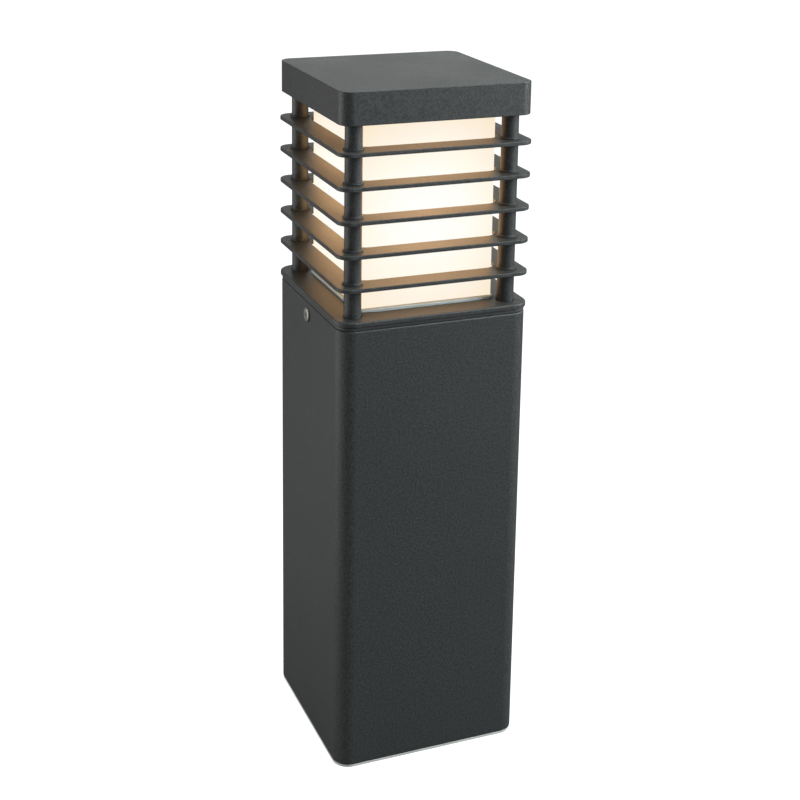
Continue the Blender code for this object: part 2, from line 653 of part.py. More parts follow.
def build_diffuser():
    """The opal box, closed at its top, with the seal that it stands on and the gasket over it."""
    outline = rounded_square(DIFFUSER_WIDTH, DIFFUSER_EDGE, segments=2)
    diffuser = flat_plate("diffuser", [outline], DIFFUSER_BOTTOM, DIFFUSER_TOP)
    edge = diffuser.modifiers.new("edge", "BEVEL")
    edge.width = DIFFUSER_EDGE
    edge.segments = 2
    edge.limit_method = "ANGLE"
    edge.angle_limit = math.radians(60)
    bore = rounded_square(DIFFUSER_WIDTH - 2 * DIFFUSER_WALL, DIFFUSER_EDGE, segments=2)
    below = DIFFUSER_BOTTOM - CUT_MARGIN
    hollow = flat_plate("diffuser_hollow", [bore], below, DIFFUSER_TOP - DIFFUSER_WALL)
    place(cut(diffuser, hollow), PARTS, OPAL)

    seal_outlines = [
        rounded_square(DIFFUSER_WIDTH + 2 * SEAL_OVERHANG, SEAL_CORNER),
        rounded_square(SEAL_OPENING, SEAL_CORNER / 2),
    ]
    seal_bottom = LIP_TOP - SEAL_POCKET_DEPTH + GAP
    seal = flat_plate("diffuser_seal", seal_outlines, seal_bottom, DIFFUSER_BOTTOM - GAP)
    place(seal, PARTS, SILICONE)

    top_outlines = [
        rounded_square(TOP_GASKET_WIDTH, TOP_GASKET_CORNER),
        rounded_square(TOP_GASKET_OPENING, TOP_GASKET_CORNER / 2),
    ]
    top = flat_plate("diffuser_top_gasket", top_outlines, DIFFUSER_TOP + GAP, CAP_TOP - CAP_WALL - GAP)
    place(top, PARTS, FOAM)


def build_clamp_screws():
    """A button-head screw on each side, in the column's nut, with its tip by the head base's tab."""
    profile = [(0.0, BUTTON_HEIGHT)]
    shoulder = BUTTON_RADIUS - BUTTON_CROWN_RADIUS
    for step in range(BUTTON_STEPS + 1):
        angle = math.radians(90 * step / BUTTON_STEPS)
        drop = BUTTON_DROP * (1 - math.cos(angle))
        profile.append((BUTTON_CROWN_RADIUS + shoulder * math.sin(angle), BUTTON_HEIGHT - drop))
    profile += [
        (BUTTON_RADIUS, 0.0),
        (BOLT_RADIUS, 0.0),
        (BOLT_RADIUS, GAP - CLAMP_SCREW_LENGTH),
        (0.0, GAP - CLAMP_SCREW_LENGTH),
    ]
    for side, sign in (("left", -1), ("right", 1)):
        face = sign * (COLUMN_WIDTH / 2 + GAP)
        screw = turned("clamp_screw_" + side, profile, (face, 0, CLAMP_SCREW_HEIGHT))
        screw.rotation_euler.y = sign * math.pi / 2
        depth = SOCKET_DEPTH + CUT_MARGIN
        middle = face + sign * (BUTTON_HEIGHT - SOCKET_DEPTH + depth / 2)
        centre = (middle, 0, CLAMP_SCREW_HEIGHT)
        socket = rod("clamp_socket_" + side, SOCKET_RADIUS, depth, centre, "X", segments=6)
        place(cut(screw, socket), PARTS, STAINLESS)


clear_scene()
PARTS = new_collection("bollard_light")
CUTTERS = new_collection("cutters", hidden=True)

ANTHRACITE = principled("anthracite_powder_coat", (0.045, 0.048, 0.050), 0.55)
OPAL = principled("opal_acrylic", (0.93, 0.90, 0.84), 0.35)
OPAL_GLASS = principled("opal_glass", (0.95, 0.94, 0.90), 0.25)
STAINLESS = principled("stainless_steel", (0.62, 0.62, 0.60), 0.30, metallic=1.0)
GALVANISED = principled("galvanised_steel", (0.55, 0.57, 0.58), 0.45, metallic=1.0)
ALUMINIUM = principled("bare_aluminium", (0.70, 0.70, 0.70), 0.35, metallic=1.0)
BRASS = principled("brass", (0.75, 0.60, 0.30), 0.35, metallic=1.0)
RUBBER = principled("black_rubber", (0.03, 0.03, 0.03), 0.80)
SILICONE = principled("pale_silicone", (0.60, 0.68, 0.70), 0.45)
FOAM = principled("grey_foam", (0.60, 0.62, 0.60), 0.90)
PORCELAIN = principled("porcelain", (0.88, 0.87, 0.83), 0.20)
WHITE_PLASTIC = principled("white_plastic", (0.85, 0.84, 0.80), 0.45)
BLACK_PLASTIC = principled("black_plastic", (0.04, 0.04, 0.04), 0.50)
BLACK_CABLE = principled("black_cable_sheath", (0.03, 0.03, 0.03), 0.60)
BROWN_CABLE = principled("brown_insulation", (0.22, 0.09, 0.04), 0.50)
BLUE_CABLE = principled("blue_insulation", (0.04, 0.14, 0.45), 0.50)

build_foot()
build_column()
build_tray()
build_wiring()
build_holder()
build_lamp()
build_head_base()
build_louvres()
build_cage_bolts()
build_cap()
build_diffuser()
build_clamp_screws()
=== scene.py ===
"""Looks for the bollard light: fine geometry and materials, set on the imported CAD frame."""

import json
import math

import bmesh
import bpy
from mathutils import Matrix, Vector

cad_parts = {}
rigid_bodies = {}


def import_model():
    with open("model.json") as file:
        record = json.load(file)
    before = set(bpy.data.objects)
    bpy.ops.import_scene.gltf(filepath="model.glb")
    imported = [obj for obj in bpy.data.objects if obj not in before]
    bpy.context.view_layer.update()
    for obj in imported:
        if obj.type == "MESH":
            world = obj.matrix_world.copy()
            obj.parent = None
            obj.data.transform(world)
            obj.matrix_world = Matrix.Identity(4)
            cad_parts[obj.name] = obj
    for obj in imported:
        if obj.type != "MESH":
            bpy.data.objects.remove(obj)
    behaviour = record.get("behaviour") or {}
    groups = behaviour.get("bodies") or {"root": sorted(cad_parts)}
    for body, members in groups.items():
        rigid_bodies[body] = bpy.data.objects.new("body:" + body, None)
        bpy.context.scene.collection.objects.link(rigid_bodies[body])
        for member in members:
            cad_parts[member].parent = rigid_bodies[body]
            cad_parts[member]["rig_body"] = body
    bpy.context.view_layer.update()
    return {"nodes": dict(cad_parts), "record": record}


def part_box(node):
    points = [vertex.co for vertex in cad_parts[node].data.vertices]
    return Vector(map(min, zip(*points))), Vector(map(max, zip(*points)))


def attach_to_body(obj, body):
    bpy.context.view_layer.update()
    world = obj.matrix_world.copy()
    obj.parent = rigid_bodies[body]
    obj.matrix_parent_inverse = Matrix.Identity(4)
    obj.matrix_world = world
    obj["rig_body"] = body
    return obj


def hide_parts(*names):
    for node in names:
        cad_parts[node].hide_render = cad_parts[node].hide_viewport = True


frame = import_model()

SLOT_OF = {part["node"]: part["material_slot"] for part in frame["record"]["subparts"]}
CORNERS = {"front_left": (-1, -1), "front_right": (1, -1), "back_left": (-1, 1), "back_right": (1, 1)}
SIDES = {"left": -1, "right": 1}
LOUVRE_COUNT = 5
SPACER_LEVELS = LOUVRE_COUNT + 1

MM = 0.001
GAP = 0.3 * MM               # what the CAD leaves between solids that touch
SEAT = 0.05 * MM             # what is left of it here
AXIS = 0.02 * MM             # the least radius of a loop, so that none shrinks to a point
CLEAR = 20 * MM              # how far a drill reaches past what it cuts
ACROSS = (0, math.pi / 2, 0)      # turns +Z to +X
FORWARD = (math.pi / 2, 0, 0)     # turns +Z to -Y

CORNER_SEGMENTS = 12         # in a quarter turn
TURN_SEGMENTS = 40           # in a whole turn
SHARP_ANGLE = math.radians(50)

# What a node's box doesn't hold. Corners are radii, seen from above.
COLUMN_CORNER = 11 * MM
LOUVRE_CORNER = 8.7 * MM
OPENING_CORNER = 9 * MM
CAP_CORNER = 8.2 * MM
PAD_CORNER = 5 * MM
PAD_INNER_CORNER = 2.5 * MM

# Square openings, from the axis to a flat side.
LOUVRE_OPENING = 48.3 * MM
SEAL_POCKET = 48.2 * MM
SEAL_OPENING = 42 * MM
HEAD_OPENING = 41 * MM
GASKET_OPENING = 20 * MM

# Thicknesses, and how far the head plate stands out past the column.
COLUMN_WALL = 2.5 * MM
CAP_WALL = 3 * MM
DIFFUSER_WALL = 2.5 * MM
SHEET = 2 * MM
RIM_OVERHANG = 0.9 * MM

# Radii of holes and of round seats.
BOLT_HOLE = 2.8 * MM
POST_SEAT = 6.2 * MM
FOOT_BOLT_HOLE = 4.5 * MM
TRAY_SCREW_HOLE = 2.3 * MM
CABLE_HOLE = 10.4 * MM
HOLDER_BORE = 13.7 * MM

# Places off the axis, and thread pitches.
FOOT_BOLT_OFFSET = 42 * MM
LEAD_SPREAD = 7 * MM
LAMP_PITCH = 3.6 * MM
BOLT_PITCH = 0.8 * MM
TRAY_SCREW_PITCH = 0.7 * MM

# Light: what the lamp casts, and what the studio adds.
WARM_LIGHT = (1.0, 0.61, 0.31)
DIFFUSER_STRENGTH = 4.0
GLASS_STRENGTH = 6.0
AIM_HEIGHT = 0.25
AMBIENT = 0.30


# ---------------------------------------------------------------- shapes

def rounded(profile, closed=True, steps=4):
    """Rounds the corners of a profile of (across, height, radius) entries.

    The result is a row of (across, height) points. An open profile keeps its two end points.
    """
    points = []
    count = len(profile)
    for i, (across, height, radius) in enumerate(profile):
        here = Vector((across, height))
        if radius == 0 or (not closed and i in (0, count - 1)):
            points.append(here)
            continue
        into = (Vector(profile[i - 1][:2]) - here).normalized()
        away = (Vector(profile[(i + 1) % count][:2]) - here).normalized()
        half_angle = into.angle(away) / 2
        centre = here + (into + away).normalized() * (radius / math.sin(half_angle))
        first = here + into * (radius / math.tan(half_angle)) - centre
        last = here + away * (radius / math.tan(half_angle)) - centre
        start = math.atan2(first.y, first.x)
        swing = math.atan2(last.y, last.x) - start
        swing = (swing + math.pi) % (2 * math.pi) - math.pi
        for step in range(steps + 1):
            angle = start + swing * step / steps
            points.append(centre + Vector((math.cos(angle), math.sin(angle))) * radius)
    return points


def square_loop(half, corner, height, segments=CORNER_SEGMENTS):
    """A round-cornered square at one height, from its half width and its corner's radius."""
    corner = max(corner, AXIS)
    inset = half - corner
    loop = []
    for turn, (x, y) in enumerate(((1, 1), (-1, 1), (-1, -1), (1, -1))):
        for step in range(segments + 1):
            angle = math.radians(90 * (turn + step / segments))
            loop.append((x * inset + corner * math.cos(angle), y * inset + corner * math.sin(angle), height))
    return loop


def round_loop(radius, height, segments=TURN_SEGMENTS):
    """A circle about Z at one height."""
    radius = max(radius, AXIS)
    turns = [2 * math.pi * step / segments for step in range(segments)]
    return [(radius * math.cos(turn), radius * math.sin(turn), height) for turn in turns]


def skin(name, loops, closed):
    """A mesh object over a row of loops. It joins the last loop to the first, or else closes both ends."""
    shape = bmesh.new()
    rings = [[shape.verts.new(point) for point in loop] for loop in loops]
    pairs = list(zip(rings, rings[1:]))
    if closed:
        pairs.append((rings[-1], rings[0]))
    for one, two in pairs:
        count = len(one)
        for i in range(count):
            shape.faces.new((one[i], one[(i + 1) % count], two[(i + 1) % count], two[i]))
    if not closed:
        shape.faces.new(rings[0])
        shape.faces.new(rings[-1])
    bmesh.ops.recalc_face_normals(shape, faces=shape.faces)
    return object_of(name, shape)


def object_of(name, shape):
    """A smooth-shaded object that takes over a bmesh."""
    mesh = bpy.data.meshes.new(name)
    shape.to_mesh(mesh)
    shape.free()
    mesh.shade_smooth()
    mesh.set_sharp_from_angle(angle=SHARP_ANGLE)
    obj = bpy.data.objects.new(name, mesh)
    bpy.context.scene.collection.objects.link(obj)
    return obj


def square_ring(name, outer_corner, inner_corner, profile, steps=4):
    """A square ring with round corners. The profile's points are (half width, height, rounding)."""
    points = rounded(profile, steps=steps)
    widest = max(point.x for point in points)
    narrowest = min(point.x for point in points)
    loops = []
    for half, height in points:
        outside = half > (widest + narrowest) / 2
        corner = outer_corner - (widest - half) if outside else inner_corner + (half - narrowest)
        loops.append(square_loop(half, corner, height))
    return even_shading(skin(name, loops, closed=True))


def turned(name, profile, closed=False, steps=4, segments=TURN_SEGMENTS):
    """A turned piece about Z, from (radius, height, rounding) entries."""
    loops = [round_loop(radius, height, segments) for radius, height in rounded(profile, closed, steps)]
    return even_shading(skin(name, loops, closed))


def threaded_loops(bottom, top, crest, root, pitch, rows_a_turn=8):
    """Loops of a round thread about Z, running up from one height to another, that fades out at both ends."""
    rows = max(2, math.ceil((top - bottom) / pitch * rows_a_turn))
    loops = []
    for row in range(rows + 1):
        height = bottom + (top - bottom) * row / rows
        fade = min(1.0, row / rows_a_turn, (rows - row) / rows_a_turn)
        loop = []
        for step in range(TURN_SEGMENTS):
            share = step / TURN_SEGMENTS
            wave = 0.5 + 0.5 * math.cos(2 * math.pi * ((height - bottom) / pitch - share))
            radius = root + (crest - root) * wave * fade
            turn = 2 * math.pi * share
            loop.append((radius * math.cos(turn), radius * math.sin(turn), height))
        loops.append(loop)
    return loops


def folded(name, outline, half_width, edge):
    """A strip of constant section along X. The outline is (depth, height, rounding) entries."""
    points = rounded(outline)
    loops = [[(x, point.x, point.y) for point in points] for x in (-half_width, half_width)]
    strip = skin(name, loops, closed=False)
    bevel = strip.modifiers.new("edge", "BEVEL")
    bevel.width = edge
    bevel.segments = 2
    bevel.limit_method = "ANGLE"
    bevel.angle_limit = math.radians(60)
    return even_shading(strip)


def block(name, low, high, edge):
    """A block between two opposite corners, with rounded edges."""
    shape = bmesh.new()
    bmesh.ops.create_cube(shape, size=1)
    bmesh.ops.scale(shape, vec=high - low, verts=shape.verts)
    bmesh.ops.bevel(shape, geom=shape.edges[:], offset=edge, segments=3, affect="EDGES", profile=0.5)
    return even_shading(bake_at(object_of(name, shape), (low + high) / 2))


def tube(name, path, radius, segments=16):
    """A round cable along a row of points."""
    loops = []
    for i, point in enumerate(path):
        along = (path[min(i + 1, len(path) - 1)] - path[max(i - 1, 0)]).normalized()
        side = (Vector((1, 0, 0)) - along * along.x).normalized()
        out = along.cross(side)
        turns = [2 * math.pi * step / segments for step in range(segments)]
        loops.append([point + (side * math.cos(turn) + out * math.sin(turn)) * radius for turn in turns])
    return even_shading(skin(name, loops, closed=False))


def eased(stations, steps=12):
    """A path that runs up through its stations, and eases sideways from each to the next."""
    points = [stations[0]]
    for low, high in zip(stations, stations[1:]):
        for step in range(1, steps + 1):
            share = step / steps
            slid = low.lerp(high, share * share * (3 - 2 * share))
            points.append(Vector((slid.x, slid.y, low.z + (high.z - low.z) * share)))
    return points


def drill(radius, low, high, place=(0, 0, 0), turn=(0, 0, 0), segments=TURN_SEGMENTS):
    """A cutter: a rod along Z, round or, with six segments, hexagonal."""
    rod = turned("drill", [(radius, low, 0), (radius, high, 0)], segments=segments)
    rod.modifiers.clear()
    return bake_at(rod, place, turn)


def slot(low, high, edge):
    """A cutter: a block between two opposite corners."""
    cutter = block("slot", low, high, edge)
    cutter.modifiers.clear()
    return cutter


def together(name, *parts):
    """Puts several closed shapes into one object."""
    shape = bmesh.new()
    for part in parts:
        shape.from_mesh(part.data)
        bpy.data.objects.remove(part)
    return even_shading(object_of(name, shape))


def even_shading(obj):
    """Keeps the flats flat beside small rounded edges."""
    weighted = obj.modifiers.new("even_shading", "WEIGHTED_NORMAL")
    weighted.keep_sharp = True
    return obj


def bake_at(obj, place, turn=(0, 0, 0)):
    """Moves the mesh itself, so that the object stays at the frame's origin."""
    matrix = Matrix.Translation(place)
    for axis, angle in zip("XYZ", turn):
        matrix = matrix @ Matrix.Rotation(angle, 4, axis)
    obj.data.transform(matrix)
    return obj


def cut(obj, cutter):
    """Cuts one mesh out of another, and keeps only the result."""
    modifier = obj.modifiers.new("cut", "BOOLEAN")
    modifier.object = cutter
    modifier.operation = "DIFFERENCE"
    while obj.modifiers[0] != modifier:
        obj.modifiers.move(obj.modifiers.find(modifier.name), 0)
    bpy.context.view_layer.update()
    with bpy.context.temp_override(object=obj, active_object=obj, selected_objects=[obj]):
        bpy.ops.object.modifier_apply(modifier=modifier.name)
    bpy.data.objects.remove(cutter)
    return obj


def middle_of(node):
    """The middle of a CAD node's box."""
    low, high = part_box(node)
    return (low + high) / 2


def four(offset):
    """Places near the four corners of a square about the axis."""
    return [Vector((x * offset, y * offset, 0)) for x, y in CORNERS.values()]


def attach(piece, body, finish):
    """The piece moves with a body and takes the finish of a material slot."""
    piece.data.materials.clear()
    piece.data.materials.append(LOOK[finish])
    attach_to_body(piece, body)
    return piece


def adopt(piece, node):
    """The piece stands for a CAD node, with that node's body and finish."""
    attach(piece, frame["nodes"][node]["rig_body"], SLOT_OF[node])
    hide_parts(node)
    return piece


# ---------------------------------------------------------------- materials

class Surface:
    """A material with a Principled shader, and short ways to add nodes to it."""

    def __init__(self, name, roughness=0.5, metallic=0.0):
        self.material = bpy.data.materials.new(name)
        self.material.use_nodes = True
        self.tree = self.material.node_tree
        self.shader = self.tree.nodes["Principled BSDF"]
        self.shader.inputs["Roughness"].default_value = roughness
        self.shader.inputs["Metallic"].default_value = metallic
        self.place = self.add("ShaderNodeTexCoord").outputs["Object"]

    def add(self, kind, **settings):
        """A new node. A setting named after a socket feeds that socket, and any other sets a property."""
        node = self.tree.nodes.new(kind)
        for key, value in settings.items():
            socket = self.socket(node, key)
            if socket is None:
                setattr(node, key, value)
            else:
                self.feed(socket, value)
        return node

    def feed(self, socket, value):
        """Links a socket to a value that comes from a node, and sets it to any other value."""
        if isinstance(value, bpy.types.NodeSocket):
            self.tree.links.new(value, socket)
        else:
            socket.default_value = value

    def socket(self, node, key):
        """A node's input socket, from its name in lower case with underscores."""
        wanted = key.replace("_", " ").lower()
        found = (s for s in node.inputs if wanted in (s.name.lower(), s.identifier.lower()))
        return next(found, None)

    def set(self, key, value):
        """Feeds one of the Principled shader's own sockets."""
        self.feed(self.socket(self.shader, key), value)

    def noise(self, scale, detail=2.0, roughness=0.5, stretch=(1, 1, 1)):
        """Noise over the object, with its scale in cells a metre."""
        spread = self.add("ShaderNodeMapping", vector=self.place, scale=stretch)
        node = self.add("ShaderNodeTexNoise", vector=spread.outputs[0], scale=scale, detail=detail)
        node.inputs["Roughness"].default_value = roughness
        return node.outputs["Fac"]

    def ramp(self, value, *stops):
        """Maps a value to colours, from (position, colour) stops."""
        node = self.add("ShaderNodeValToRGB", fac=value)
        elements = node.color_ramp.elements
        while len(elements) < len(stops):
            elements.new(0.5)
        for element, (position, colour) in zip(elements, stops):
            element.position = position
            element.color = (*colour, 1.0)
        return node.outputs["Color"]

    def range(self, value, low, high, to_low=0.0, to_high=1.0):
        """Maps one range of numbers to another, and holds at both ends."""
        limits = {"from_min": low, "from_max": high, "to_min": to_low, "to_max": to_high}
        return self.add("ShaderNodeMapRange", value=value, **limits).outputs["Result"]

    def math(self, operation, first, second=0.0):
        """The result of a sum on one or two values."""
        node = self.add("ShaderNodeMath", operation=operation)
        for socket, value in zip(node.inputs, (first, second)):
            self.feed(socket, value)
        return node.outputs[0]

    def mix(self, share, one, two):
        """Mixes two colours. The node's colour sockets come after those for numbers and vectors."""
        node = self.add("ShaderNodeMix", data_type="RGBA")
        self.feed(node.inputs[0], share)
        for socket, colour in zip(node.inputs[6:8], (one, two)):
            self.feed(socket, (*colour, 1.0) if isinstance(colour, tuple) else colour)
        return node.outputs[2]

    def bump(self, height, strength, depth):
        """Roughens the surface, by a depth in metres."""
        node = self.add("ShaderNodeBump", height=height, strength=strength, distance=depth)
        self.set("normal", node.outputs[0])


def powder_coat():
    """Fine-textured matt anthracite powder coat: a pebbled skin with faint light and dark grain."""
    surface = Surface("anthracite_powder_coat")
    pebbles = surface.noise(1500, detail=3.0, roughness=0.6)
    drift = surface.noise(14, detail=3.0)
    grain = surface.noise(750, detail=4.0, roughness=0.7)
    base = surface.ramp(grain, (0.36, (0.013, 0.015, 0.016)), (0.64, (0.042, 0.047, 0.048)))
    surface.set("base color", base)
    surface.set("roughness", surface.range(drift, 0.3, 0.7, 0.46, 0.54))
    surface.bump(pebbles, 0.8, 0.22 * MM)
    return surface.material


def metal(name, colour, roughness):
    """Metal with fine drawn or ground lines that vary its gloss."""
    surface = Surface(name, roughness, metallic=1.0)
    lines = surface.noise(500, detail=3.0, stretch=(1, 1, 12))
    cloud = surface.noise(60, detail=3.0)
    dark = tuple(channel * 0.72 for channel in colour)
    surface.set("base color", surface.mix(surface.range(cloud, 0.3, 0.7), dark, colour))
    surface.set("roughness", surface.range(lines, 0.3, 0.7, roughness - 0.10, roughness + 0.10))
    surface.bump(lines, 0.15, 0.05 * MM)
    return surface.material


def galvanised():
    """Zinc-plated sheet: a faint spangle of flat grey patches."""
    surface = Surface("galvanised_steel", 0.45, metallic=1.0)
    cells = surface.add("ShaderNodeTexVoronoi", vector=surface.place, scale=160)
    spangle = surface.add("ShaderNodeRGBToBW", color=cells.outputs["Color"]).outputs[0]
    surface.set("base color", surface.ramp(spangle, (0.2, (0.42, 0.44, 0.45)), (0.8, (0.62, 0.64, 0.65))))
    surface.set("roughness", surface.range(spangle, 0.0, 1.0, 0.34, 0.54))
    surface.bump(surface.noise(900), 0.1, 0.05 * MM)
    return surface.material


def moulded(name, colour, roughness, grain=900, depth=0.05, sheen=0.0):
    """Moulded plastic, rubber or foam, with a fine skin and a slight drift of tone."""
    surface = Surface(name, roughness)
    drift = surface.noise(45, detail=3.0)
    dark = tuple(channel * 0.80 for channel in colour)
    surface.set("base color", surface.mix(surface.range(drift, 0.3, 0.7), dark, colour))
    surface.set("roughness", surface.range(drift, 0.3, 0.7, roughness - 0.06, roughness + 0.06))
    surface.set("sheen weight", sheen)
    surface.bump(surface.noise(grain, detail=3.0), 0.3, depth * MM)
    return surface.material


def glow(surface, seen, cast, strength):
    """Lights a surface: a colour for the eye, and a stronger warm light for everything round it."""
    eye = surface.add("ShaderNodeLightPath").outputs["Is Camera Ray"]
    surface.set("emission color", surface.mix(eye, cast, seen))
    switch = surface.add("ShaderNodeMix", data_type="FLOAT")
    surface.feed(switch.inputs[0], eye)
    for socket, value in zip(switch.inputs[2:4], (strength, 1.0)):
        surface.feed(socket, value)
    surface.set("emission strength", switch.outputs[0])


def opal_diffuser(low, high, lamp_height):
    """Opal acrylic lit from inside: almost white near the lamp, and warmer towards its rims and edges."""
    surface = Surface("opal_acrylic", 0.35)
    surface.set("base color", (0.04, 0.04, 0.04, 1.0))
    surface.set("specular ior level", 0.1)
    centred = surface.add("ShaderNodeVectorMath", operation="SUBTRACT")
    surface.feed(centred.inputs[0], surface.place)
    surface.feed(centred.inputs[1], (0, 0, lamp_height))
    length = surface.add("ShaderNodeVectorMath", operation="LENGTH")
    surface.feed(length.inputs[0], centred.outputs[0])
    nearness = surface.math("DIVIDE", (high.x - low.x) / 2, length.outputs["Value"])
    mottle = surface.range(surface.noise(35, detail=2.0), 0.3, 0.7, 0.97, 1.03)
    light = surface.math("MULTIPLY", surface.math("POWER", nearness, 3.0), mottle)
    seen = surface.ramp(
        light,
        (0.10, (0.93, 0.76, 0.52)),
        (0.16, (0.96, 0.83, 0.65)),
        (0.26, (0.98, 0.885, 0.76)),
        (0.40, (0.99, 0.945, 0.81)),
        (0.60, (0.99, 0.972, 0.895)),
        (0.90, (0.99, 0.982, 0.945)),
    )
    height = surface.add("ShaderNodeSeparateXYZ", vector=surface.place).outputs["Z"]
    foot_shade = surface.range(height, low.z + 1 * MM, low.z + 12 * MM, 0.25, 1.0)
    slant = surface.range(height, low.z, high.z, 1.35 * DIFFUSER_STRENGTH, DIFFUSER_STRENGTH)
    across = surface.math("MULTIPLY", foot_shade, slant)
    strength = surface.math("MULTIPLY", surface.math("POWER", nearness, 1.35), across)
    glow(surface, seen, WARM_LIGHT, strength)
    return surface.material


def opal_glass():
    """The lamp's own opal glass, lightest where it faces the eye."""
    surface = Surface("opal_glass", 0.2)
    surface.set("base color", (0.1, 0.1, 0.1, 1.0))
    facing = surface.add("ShaderNodeLayerWeight", blend=0.5).outputs["Facing"]
    seen = surface.ramp(
        facing,
        (0.0, (0.99, 0.91, 0.74)),
        (0.5, (0.94, 0.74, 0.48)),
        (1.0, (0.74, 0.45, 0.22)),
    )
    glow(surface, seen, WARM_LIGHT, GLASS_STRENGTH)
    return surface.material


def make_materials(diffuser_box, lamp_height):
    """Every material, under the name of its slot in the record."""
    return {
        "anthracite_powder_coat": powder_coat(),
        "opal_acrylic": opal_diffuser(*diffuser_box, lamp_height),
        "opal_glass": opal_glass(),
        "stainless_steel": metal("stainless_steel", (0.28, 0.28, 0.26), 0.50),
        "galvanised_steel": galvanised(),
        "bare_aluminium": metal("bare_aluminium", (0.78, 0.78, 0.78), 0.30),
        "brass": metal("brass", (0.80, 0.62, 0.30), 0.30),
        "black_rubber": moulded("black_rubber", (0.035, 0.036, 0.038), 0.55, sheen=0.1),
        "pale_silicone": moulded("pale_silicone", (0.56, 0.66, 0.68), 0.35, grain=400),
        "grey_foam": moulded("grey_foam", (0.62, 0.64, 0.62), 0.85, grain=1800, depth=0.12),
        "porcelain": moulded("porcelain", (0.86, 0.85, 0.81), 0.16, grain=120, depth=0.02),
        "white_plastic": moulded("white_plastic", (0.82, 0.81, 0.77), 0.40),
        "black_plastic": moulded("black_plastic", (0.035, 0.035, 0.037), 0.45),
        "black_cable_sheath": moulded("black_cable_sheath", (0.030, 0.030, 0.032), 0.50),
        "brown_insulation": moulded("brown_insulation", (0.20, 0.075, 0.03), 0.42),
        "blue_insulation": moulded("blue_insulation", (0.03, 0.12, 0.42), 0.42),
    }


# ---------------------------------------------------------------- the column

def make_column():
    """The square tube, with a hole for each side screw."""
    low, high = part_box("column")
    half = high.x
    bore = half - COLUMN_WALL
    bottom = low.z - GAP + SEAT
    profile = [
        (half, high.z, 1.3 * MM),
        (half, bottom, 0.5 * MM),
        (bore, bottom, 0.2 * MM),
        (bore, high.z, 0.4 * MM),
    ]
    column = square_ring("column_tube", COLUMN_CORNER, COLUMN_CORNER - COLUMN_WALL, profile)
    place = (0, 0, middle_of("clamp_screw_left").z)
    adopt(cut(column, drill(BOLT_HOLE, -2 * half, 2 * half, place, ACROSS)), "column")


def make_clamp_nut(side, sign):
    """The hexagon nut inside the column, which a side screw turns in."""
    node = "clamp_nut_" + side
    low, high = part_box(node)
    radius, thickness = (high.z - low.z) / 2, high.x - low.x
    profile = [(radius, thickness / 2, 0.4 * MM), (radius, -thickness / 2, 0.4 * MM)]
    nut = turned("hexagon_nut_" + side, profile, segments=6)
    cut(nut, drill(BOLT_HOLE, -thickness, thickness))
    bake_at(nut, middle_of(node), (0, sign * math.pi / 2, 0))
    adopt(nut, node)


def make_clamp_screw(side, sign):
    """A low button-head screw with a hexagon socket and a rolled thread."""
    node = "clamp_screw_" + side
    low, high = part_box(node)
    crown, dome, inset = 1.1 * MM, 0.8 * MM, 0.4 * MM
    radius, shank_radius = (high.z - low.z) / 2, 2.5 * MM
    face = (high.x if sign > 0 else low.x) - sign * inset
    length = high.x - low.x - crown - inset
    under = -0.15 * MM
    profile = [(2.2 * MM, crown, 0), (2.8 * MM, crown, 0.2 * MM)]
    steps = 8
    for step in range(1, steps + 1):
        angle = math.radians(90 * step / steps)
        across = (2.9 + 1.8 * math.sin(angle)) * MM
        profile.append((across, crown - dome * (1 - math.cos(angle)), 0))
    profile += [(radius, under, 0.15 * MM), (shank_radius, under, 0)]
    rings = [round_loop(across, height) for across, height in rounded(profile, closed=False)]
    shank = threaded_loops(-length, -0.4 * MM, shank_radius, 2.1 * MM, BOLT_PITCH)
    screw = even_shading(skin("button_screw_" + side, rings + shank[::-1], closed=False))
    cut(screw, drill(1.73 * MM, crown - 1.6 * MM, crown + MM, segments=6))
    bake_at(screw, (face - sign * crown, 0, (low.z + high.z) / 2), (0, sign * math.pi / 2, 0))
    adopt(screw, node)


def make_foot_gasket():
    """The foam gasket on the ground."""
    low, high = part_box("foot_gasket")
    half = high.x - 0.15 * MM
    profile = [
        (half, high.z, 0.3 * MM),
        (half, low.z, 0.3 * MM),
        (GASKET_OPENING, low.z, 0.2 * MM),
        (GASKET_OPENING, high.z, 0.2 * MM),
    ]
    gasket = square_ring("foot_seal", COLUMN_CORNER, GASKET_OPENING - 0.1 * MM, profile, steps=3)
    holes = [drill(FOOT_BOLT_HOLE + 2 * MM, -CLEAR, CLEAR, place) for place in four(FOOT_BOLT_OFFSET)]
    adopt(cut(gasket, together("drills", *holes)), "foot_gasket")


def make_foot_plate():
    """The plate that the column is bolted down through, with a hole for the cable gland."""
    low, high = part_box("foot_plate")
    inner, edge = high.x - 9 * MM, 0.5 * MM
    outline = [(inner, low.z, 0), (high.x, low.z, edge), (high.x, high.z, edge), (inner, high.z, 0)]
    loops = []
    for half, height in rounded(outline, closed=False):
        corner = COLUMN_CORNER - COLUMN_WALL - (high.x - half)
        loops.append(square_loop(half, max(corner, MM), height))
    plate = even_shading(skin("base_plate", loops, closed=False))
    holes = [drill(FOOT_BOLT_HOLE, -CLEAR, CLEAR, place) for place in four(FOOT_BOLT_OFFSET)]
    holes.append(drill(CABLE_HOLE, -CLEAR, CLEAR))
    for side in SIDES:
        holes.append(drill(TRAY_SCREW_HOLE, -CLEAR, CLEAR, middle_of("tray_screw_" + side)))
    adopt(cut(plate, together("drills", *holes)), "foot_plate")


# ---------------------------------------------------------------- inside the column

